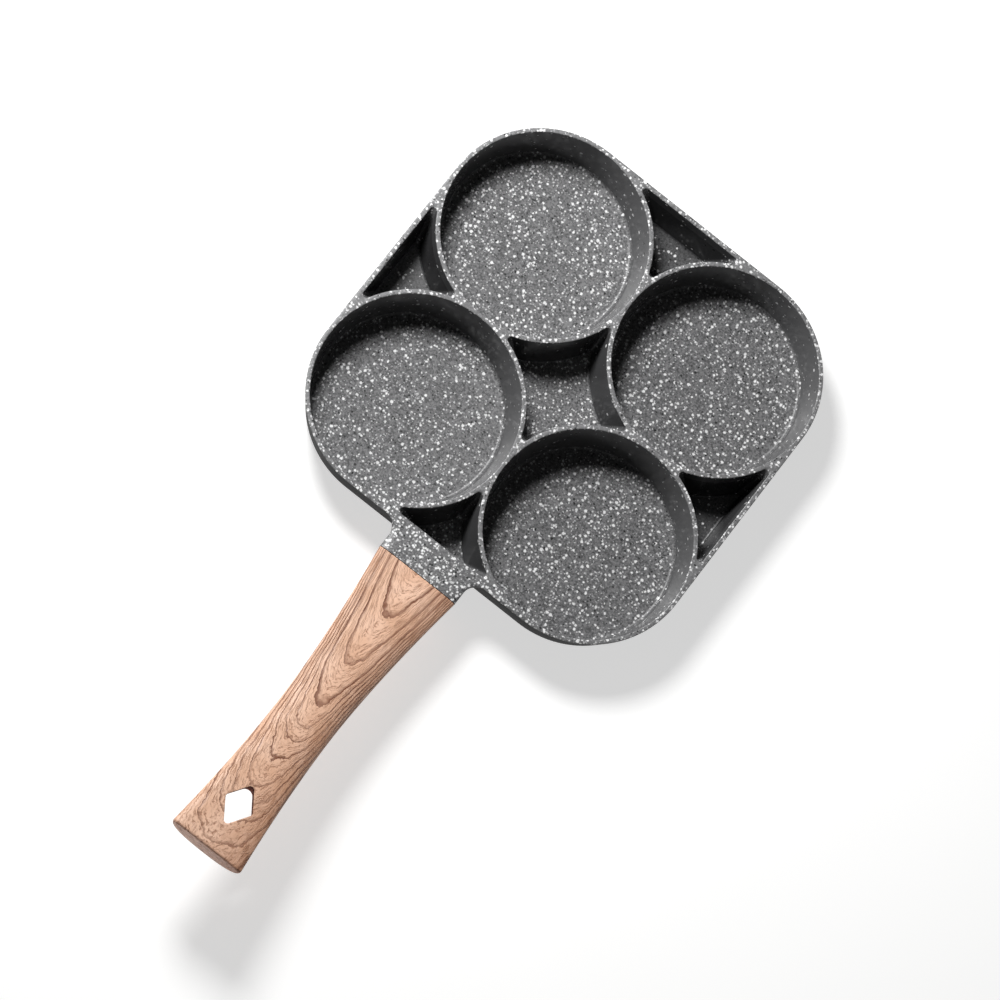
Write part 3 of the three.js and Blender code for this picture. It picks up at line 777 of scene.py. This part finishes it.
# Phenolic moulding with a printed grain under lacquer: warm and satin, with lines that dip a little.
wood, tree, mm = new_material("phenolic_wood_print")
lengthwise = add(tree, "SeparateXYZ", [mm]).node.outputs["Y"]
along = add(tree, "Math", [JOINT_Y, lengthwise], operation="SUBTRACT")
around = add(tree, "Attribute", attribute_name="girth").node.outputs["Fac"]
across = add(tree, "Attribute", attribute_name="side").node.outputs["Fac"]
wander = add(tree, "TexNoise", {"Vector": mm, "Scale": 1 / WANDER_SIZE, "Detail": 2.0})
jitter = add(tree, "TexNoise", {"Vector": mm, "Scale": 1 / JITTER_SIZE, "Detail": 3.0})
sway = add(tree, "Math", [across, SWAY], operation="ADD")
off_middle = add(tree, "Math", [sway], operation="ABSOLUTE")
wide = add(tree, "Math", [off_middle, around], operation="MAXIMUM")
arch = add(tree, "Math", [wide, ARCH_POWER], operation="POWER")
reach = add(tree, "Math", [along, -REACH_LOSS, ARCH_REACH], operation="MULTIPLY_ADD")
ring = add(tree, "Math", [arch, reach, along], operation="MULTIPLY_ADD")
ring = add(tree, "Math", [wander, WANDER, ring], operation="MULTIPLY_ADD")
ring = add(tree, "Math", [jitter, JITTER, ring], operation="MULTIPLY_ADD")
ring = add(tree, "Math", [ring, FIRST_RING], operation="SUBTRACT")
print("rings are", WIDE_RING, "mm apart near the joint and", NARROW_RING, "mm towards the tail")

# %% [markdown]
# Dark late wood closes each ring, in a line that is thin at the tip of an arch and broad along its
# flanks. Finer lines run between the rings.

# %% Late wood
FLANK_FROM, FLANK_FULL = 2.0, 40.0
TIP_LINE_START, TIP_LINE_FULL = 0.84, 0.965
FLANK_LINE_START, FLANK_LINE_FULL = 0.55, 0.85
TAIL_FROM, TAIL_FULL, TAIL_FADE = 110.0, 145.0, 0.8
FINE_RINGS, FINE_FROM, FINE_DARK, LEAST_LATE = 3.7, 0.7, 0.3, 0.65

wide_part = add(tree, "Math", [ring, WIDE_END], operation="MINIMUM")
wide_part = add(tree, "Math", [wide_part, WIDE_RING], operation="DIVIDE")
narrow_part = add(tree, "Math", [ring, WIDE_END], operation="SUBTRACT")
narrow_part = add(tree, "Math", [narrow_part, 0.0], operation="MAXIMUM")
ring_count = add(tree, "Math", [narrow_part, 1 / NARROW_RING, wide_part], operation="MULTIPLY_ADD")
within = add(tree, "Math", [ring_count], operation="FRACT")
lift = add(tree, "Math", [arch, reach], operation="MULTIPLY")
line_start = add(tree, "MapRange", [lift, FLANK_FROM, FLANK_FULL, TIP_LINE_START, FLANK_LINE_START])
line_full = add(tree, "MapRange", [lift, FLANK_FROM, FLANK_FULL, TIP_LINE_FULL, FLANK_LINE_FULL])
late_wood = add(tree, "MapRange", [within, line_start, line_full, 0.0, 1.0])
fade = add(tree, "MapRange", [wander, NOISE_LOW, NOISE_HIGH, LEAST_LATE, 1.0])
late_wood = add(tree, "Math", [late_wood, fade], operation="MULTIPLY")
to_tail = add(tree, "MapRange", [along, TAIL_FROM, TAIL_FULL, 1.0, TAIL_FADE])
late_wood = add(tree, "Math", [late_wood, to_tail], operation="MULTIPLY")
fine = add(tree, "Math", [ring_count, FINE_RINGS], operation="MULTIPLY")
fine = add(tree, "Math", [fine], operation="FRACT")
fine_line = add(tree, "MapRange", [fine, FINE_FROM, 1.0, 0.0, FINE_DARK])
print("nodes for the rings:", len(tree.nodes))

# %% [markdown]
# Pores are short dashes that follow the rings: noise that is stretched along them. Straight streaks
# run along the sides, stronger on the right, where the colour is darker from browner print and painted
# shade.

# %% Pores and streaks
PORE_WIDTH, PORES_ACROSS, PORE_LENGTH = 1.053, 9.0, 16.67
PORE_LOW, PORE_HIGH = 0.5, 0.66
STREAK_WIDTH, STREAK_LENGTH, STREAK_LOW, STREAK_HIGH = 0.833, 22.2, 0.46, 0.66
LEFT, LEFT_STREAK, RIGHT, RIGHT_STREAK = -0.9, 0.3, 0.6, 0.8
SIDE_FROM, SIDE_FULL = 0.35, 0.8

pore_x = add(tree, "Math", [ring, 1 / PORE_WIDTH], operation="MULTIPLY")
pore_y = add(tree, "Math", [across, PORES_ACROSS], operation="MULTIPLY")
pore_z = add(tree, "Math", [along, 1 / PORE_LENGTH], operation="MULTIPLY")
pore_place = add(tree, "CombineXYZ", [pore_x, pore_y, pore_z])
pores = add(tree, "TexNoise", {"Vector": pore_place, "Scale": 1.0, "Detail": 3.0, "Roughness": 0.65})
dash = add(tree, "MapRange", [pores, PORE_LOW, PORE_HIGH, 0.0, 1.0])

stretch = (1 / STREAK_WIDTH, 1 / STREAK_LENGTH, 1 / STREAK_WIDTH)
streak_place = add(tree, "VectorMath", [mm, stretch], operation="MULTIPLY")
streaks = add(tree, "TexNoise", {"Vector": streak_place, "Scale": 1.0, "Detail": 3.0, "Roughness": 0.6})
streak = add(tree, "MapRange", [streaks, STREAK_LOW, STREAK_HIGH, 0.0, 1.0])
strong = add(tree, "MapRange", [across, LEFT, RIGHT, LEFT_STREAK, RIGHT_STREAK])
at_side = add(tree, "MapRange", [wide, SIDE_FROM, SIDE_FULL, 0.0, strong])
streak = add(tree, "Math", [streak, at_side], operation="MULTIPLY")
print("nodes with pores and streaks:", len(tree.nodes))

# %% [markdown]
# The colours are laid from light to dark. The right side is browner towards the tail, partly from
# heartwood in the print and partly as painted shade, and the flat end of the handle is darkened with
# painted shade. Lines and pores are pressed in by about 0.2 mm.

# %% Colours of the print
CLOUD_SIZE, CLOUD_LOW, CLOUD_HIGH = 12.5, 0.3, 0.7
PORE_DARK, SKIN_ROUGH, PORE_ROUGH = 0.85, 0.48, 0.6
# These set the browner right side: heartwood in the print and painted shade.
HEART_SHADE_FROM, HEART_SHADE_FULL, HEART_SHADE_LEAST, HEART_SHADE_MOST = 15.0, 100.0, 0.15, 0.45
HEART_SHADE_EDGE, HEART_SHADE_SIDE = -0.25, 0.95
# These set the painted shade on the flat end of the handle.
END_SHADE_FROM, END_SHADE_FULL, END_SHADE_DARK = HANDLE_LENGTH - END_ROUND, HANDLE_LENGTH - END_ROUND / 4, 0.45
GRAIN_DEPTH, GRAIN_STRENGTH = 0.2, 0.7

cloud = add(tree, "TexNoise", {"Vector": mm, "Scale": 1 / CLOUD_SIZE, "Detail": 2.0})
cloud = add(tree, "MapRange", [cloud, CLOUD_LOW, CLOUD_HIGH, 0.0, 1.0])
pore = add(tree, "Math", [dash, PORE_DARK], operation="MULTIPLY")
# Browner print on the right towards the tail, partly painted shade on the side away from the lamp.
heart_and_shade_most = add(tree, "MapRange", [along, HEART_SHADE_FROM, HEART_SHADE_FULL, HEART_SHADE_LEAST, HEART_SHADE_MOST])
heart_and_shade = add(tree, "MapRange", [across, HEART_SHADE_EDGE, HEART_SHADE_SIDE, 0.0, heart_and_shade_most])
# Painted shade on the flat end of the handle, a darker pinkish brown.
end_face_shade = add(tree, "MapRange", [along, END_SHADE_FROM, END_SHADE_FULL, 0.0, END_SHADE_DARK])
body = add(tree, "MixRGB", [cloud, tint("eaba9a"), tint("fbd0b4")])
# The heart colour a4663c is partly painted shade; 8a5245 is painted shade on the flat end.
for mask, colour in ((pore, "a26f53"), (streak, "a87a5d"), (heart_and_shade, "a4663c"), (end_face_shade, "8a5245"),
                     (fine_line, "a5775a"), (late_wood, "7e4c32")):
    body = add(tree, "MixRGB", [mask, body, tint(colour)])

relief = add(tree, "Math", [late_wood, dash], operation="ADD")
pressed = {"Strength": GRAIN_STRENGTH, "Distance": GRAIN_DEPTH / MM_PER_METRE, "Height": relief}
bump = add(tree, "Bump", pressed, invert=True)
satin = add(tree, "MapRange", [dash, 0.0, 1.0, SKIN_ROUGH, PORE_ROUGH])
finish_material(wood, {"Base Color": body, "Roughness": satin, "IOR": 1.5, "Normal": bump})
handle.data.materials.append(wood)

# %% [markdown]
# The steep faces inside the hanging hole get a second, darker brown material: painted shade
# for the walls of the hole.

# %% Painted shade in the hanging hole
FILLER_SIZE, HOLE_REACH, WALL_LEAN = 0.667, 1.5, 0.6

# Painted shade for the walls of the hanging hole: a dull dark brown, with a fine mottle.
hole_shade, tree, mm = new_material("painted_hole_shade")
filler = add(tree, "TexNoise", {"Vector": mm, "Scale": 1 / FILLER_SIZE, "Detail": 3.0})
colour = add(tree, "MixRGB", [filler, tint("5c2414"), tint("7c3a22")])
finish_material(hole_shade, {"Base Color": colour, "Roughness": 0.8, "IOR": 1.5, "Specular IOR Level": 0.05})
handle.data.materials.append(hole_shade)

# The steep faces around the lozenge take the painted shade.
for face in handle.data.polygons:
    x, y = face.center.x * MM_PER_METRE, face.center.y * MM_PER_METRE
    near_hole = abs(x) / HOLE_HALF_WIDTH + abs(y - HOLE_Y) / HOLE_HALF_LENGTH < HOLE_REACH
    if near_hole and abs(face.normal.z) < WALL_LEAN:
        face.material_index = 1
print("faces in the hole:", sum(face.material_index for face in handle.data.polygons))

# %% [markdown]
# ## Fixing
# One screw with a cross recess, a spring washer and a flat washer hold the handle on the tang.
# They show only from below. The washers of the CAD model are right as they are, so only the screw
# is made again, with a round head and its recess. A thread would never show, so the shank is plain.

# %% Screw
FLAT_WASHER, SPRING_WASHER = 0.8, 1.2
HEAD_RADIUS, HEAD_HEIGHT, HEAD_STEPS, HEAD_FLAT = 4.7, 2.4, 14, 0.02
SHANK_RADIUS, TIP_RADIUS, TIP_LENGTH, SCREW_STEPS = 2.5, 2.0, 0.6, 64
RECESS_LONG, RECESS_SHORT, RECESS_TAPER, RECESS_WEB, RECESS_PAST = 2.3, 0.55, 0.45, 0.8, 4.0
SCREW_EDGE = 30

head_top = SEAT - FIT - FLAT_WASHER - FIT - SPRING_WASHER - FIT
screw_end = tang_top - FIT
profile = []
for turn in np.linspace(HEAD_FLAT, QUARTER, HEAD_STEPS):
    profile.append((HEAD_RADIUS * math.sin(turn), head_top - HEAD_HEIGHT * math.cos(turn)))
profile += [(SHANK_RADIUS, head_top), (SHANK_RADIUS, screw_end - TIP_LENGTH), (TIP_RADIUS, screw_end)]
screw = loft("screw", [level(circle(0, SCREW_Y, radius, SCREW_STEPS), z) for radius, z in profile])

for half_x, half_y in ((RECESS_LONG, RECESS_SHORT), (RECESS_SHORT, RECESS_LONG)):
    slot_rings = []
    for grow, depth in ((1.0, RECESS_PAST), (1.0, HEAD_HEIGHT), (RECESS_TAPER, RECESS_WEB)):
        a, b = half_x * grow, half_y * grow
        slot = np.array([(-a, -b), (a, -b), (a, b), (-a, b)]) + (0, SCREW_Y)
        slot_rings.append(level(slot, head_top - depth))
    combine(screw, loft("recess", slot_rings), "DIFFERENCE")
smooth(screw, SCREW_EDGE)

# %% [markdown]
# Zinc plating on steel is pale and a little cloudy, with a soft shine. All three fasteners have it.

# %% Plated steel
ZINC_CLOUD, ZINC_SMOOTH, ZINC_ROUGH = 1.25, 0.28, 0.42

# Mild steel with a zinc plating: a bare metal, so it keeps the default IOR.
steel, tree, mm = new_material("zinc_plated_steel")
cloudy = add(tree, "TexNoise", {"Vector": mm, "Scale": 1 / ZINC_CLOUD, "Detail": 4.0})
colour = add(tree, "MixRGB", [cloudy, tint("a9abad"), tint("d2d4d6")])
rough = add(tree, "MapRange", [cloudy, CLOUD_LOW, CLOUD_HIGH, ZINC_SMOOTH, ZINC_ROUGH])
finish_material(steel, {"Base Color": colour, "Metallic": 1.0, "Roughness": rough})
screw.data.materials.append(steel)
for name in ("flat_washer", "spring_washer"):
    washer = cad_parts[name]
    washer.data.materials.clear()
    washer.data.materials.append(steel)

# %% [markdown]
# ## The pieces in place
# Each new piece rides the one rigid body, and the CAD node that it stands for is hidden.

# %% Ride and hide
for piece, node, finish in ((pan, "pan_body", "nonstick_coating"), (handle, "handle", "wood_print"),
                            (screw, "handle_screw", "steel")):
    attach(piece, "root")
    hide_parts(node)
